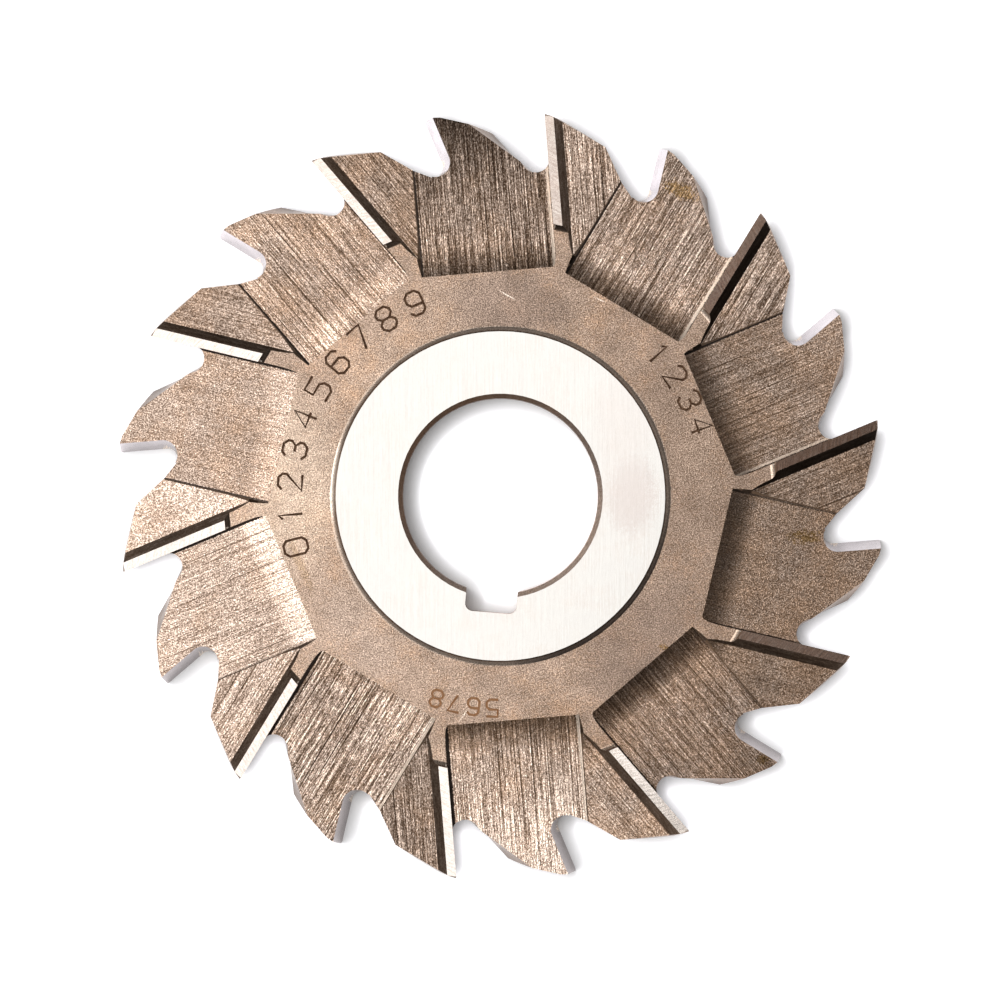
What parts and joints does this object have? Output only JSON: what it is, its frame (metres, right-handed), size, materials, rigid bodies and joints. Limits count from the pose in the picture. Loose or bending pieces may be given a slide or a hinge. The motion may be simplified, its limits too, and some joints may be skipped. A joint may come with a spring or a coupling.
{
  "type": "side and face cutter",
  "caption": "Flat ring-shaped milling cutter with alternating ground teeth on the rim, a recessed web and a raised hub round a keyed bore.",
  "frame": {"origin": "on the bore axis, in the middle of the cutter's width", "axes": "+Z along the bore axis towards the front face, from which the cutter turns counter-clockwise; the keyway points along -Y; +X to the right"},
  "size_m": [0.1, 0.1, 0.005],
  "materials": {
    "tool_steel": "ground high-speed steel, with a fine blasted web and bright ground hub and lands"
  },
  "bodies": {
    "root": {"side_and_face_cutter": "tool_steel"}
  },
  "joints": []
}
